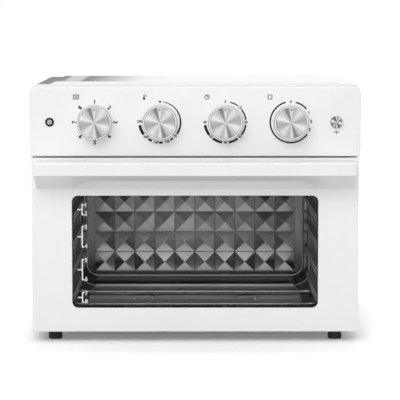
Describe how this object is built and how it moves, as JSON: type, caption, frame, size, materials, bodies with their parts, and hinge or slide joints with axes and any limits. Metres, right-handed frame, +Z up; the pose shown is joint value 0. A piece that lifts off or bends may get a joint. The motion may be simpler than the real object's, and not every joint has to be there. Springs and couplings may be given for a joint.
{
  "type": "air fryer oven",
  "caption": "Countertop air fryer oven with a drop-down glass door, rotary controls, a push button for the lamp, heating tubes and a convection fan.",
  "frame": {"origin": "middle of the footprint, on the counter", "axes": "+X to the right seen from the front, +Y from the door to the back, +Z up"},
  "size_m": [0.4, 0.394, 0.314],
  "materials": {
    "white_paint": "gloss",
    "white_moulding": "satin",
    "knob_moulding": "gloss",
    "spun_metal": "spun",
    "cavity_liner": "satin",
    "plated_sheet": "plated",
    "plated_steel": "plated",
    "tube_steel": "satin",
    "ceramic_bush": "matt",
    "black_moulding": "fine grain",
    "black_rubber": "matt",
    "clear_glass": "clear",
    "lamp_lens": "clear"
  },
  "bodies": {
    "root": {"outer_wrap": "white_paint", "control_panel": "white_moulding", "cavity_left": "cavity_liner", "cavity_right": "cavity_liner", "cavity_ceiling": "cavity_liner", "cavity_floor": "cavity_liner", "cavity_back": "cavity_liner", "crumb_tray": "cavity_liner", "base_plate": "plated_sheet", "rear_panel": "plated_sheet", "front_frame": "plated_sheet", "fan_guard": "plated_sheet", "element_supports": "plated_sheet", "hinge_brackets": "plated_sheet", "lamp_housing": "plated_sheet", "fan_motor": "plated_steel", "case_screws": "plated_steel", "hinge_pins": "plated_steel", "hinge_springs": "plated_steel", "heater_bottom_front": "tube_steel", "heater_bottom_rear": "tube_steel", "heater_top_front": "tube_steel", "heater_top_rear": "tube_steel", "element_insulators": "ceramic_bush", "rear_spacers": "black_moulding", "cord_gland": "black_moulding", "function_switch": "black_moulding", "thermostat": "black_moulding", "oven_timer": "black_moulding", "toast_timer": "black_moulding", "light_switch": "black_moulding", "indicator_bezel": "black_moulding", "foot_front_left": "black_rubber", "foot_front_right": "black_rubber", "foot_rear_left": "black_rubber", "foot_rear_right": "black_rubber", "door_gasket": "black_rubber", "lamp_lens": "clear_glass", "indicator_lens": "lamp_lens"},
    "door": {"door_frame": "white_paint", "door_glass": "clear_glass", "door_liner": "plated_sheet", "handle": "white_moulding", "handle_screws": "plated_steel"},
    "fan": {"fan_blade": "plated_sheet", "fan_shaft": "plated_steel", "cooling_blade": "plated_sheet"},
    "button": {"light_button": "spun_metal"},
    "function_control": {"knob_function": "knob_moulding", "knob_cap_function": "spun_metal", "knob_shaft_function": "plated_steel"},
    "temperature_control": {"knob_temperature": "knob_moulding", "knob_cap_temperature": "spun_metal", "knob_shaft_temperature": "plated_steel"},
    "timer_control": {"knob_timer": "knob_moulding", "knob_cap_timer": "spun_metal", "knob_shaft_timer": "plated_steel"},
    "toast_control": {"knob_toast": "knob_moulding", "knob_cap_toast": "spun_metal", "knob_shaft_toast": "plated_steel"}
  },
  "joints": [
    {"name": "door_hinge", "type": "hinge", "parent": "root", "child": "door", "pos_m": [0, -0.134, 0.018], "axis": [1, 0, 0], "range_deg": [0, 75], "stiffness_Nm_per_rad": 1, "springref_deg": -51.57},
    {"name": "light_button_push", "type": "slide", "parent": "root", "child": "button", "axis": [0, 1, 0], "range_m": [0, 0.0025], "stiffness_N_per_m": 250},
    {"name": "fan_spin", "type": "hinge", "parent": "root", "child": "fan", "pos_m": [0, 0.02, 0.25], "axis": [0, 0, 1], "continuous": true},
    {"name": "function_knob_turn", "type": "hinge", "parent": "root", "child": "function_control", "pos_m": [-0.121, -0.154, 0.2692], "axis": [0, 1, 0], "range_deg": [0, 315]},
    {"name": "temperature_knob_turn", "type": "hinge", "parent": "root", "child": "temperature_control", "pos_m": [-0.0422, -0.154, 0.2692], "axis": [0, 1, 0], "range_deg": [0, 270]},
    {"name": "timer_knob_turn", "type": "hinge", "parent": "root", "child": "timer_control", "pos_m": [0.0366, -0.154, 0.2692], "axis": [0, 1, 0], "range_deg": [0, 270]},
    {"name": "toast_knob_turn", "type": "hinge", "parent": "root", "child": "toast_control", "pos_m": [0.1154, -0.154, 0.2692], "axis": [0, 1, 0], "range_deg": [0, 330]}
  ]
}
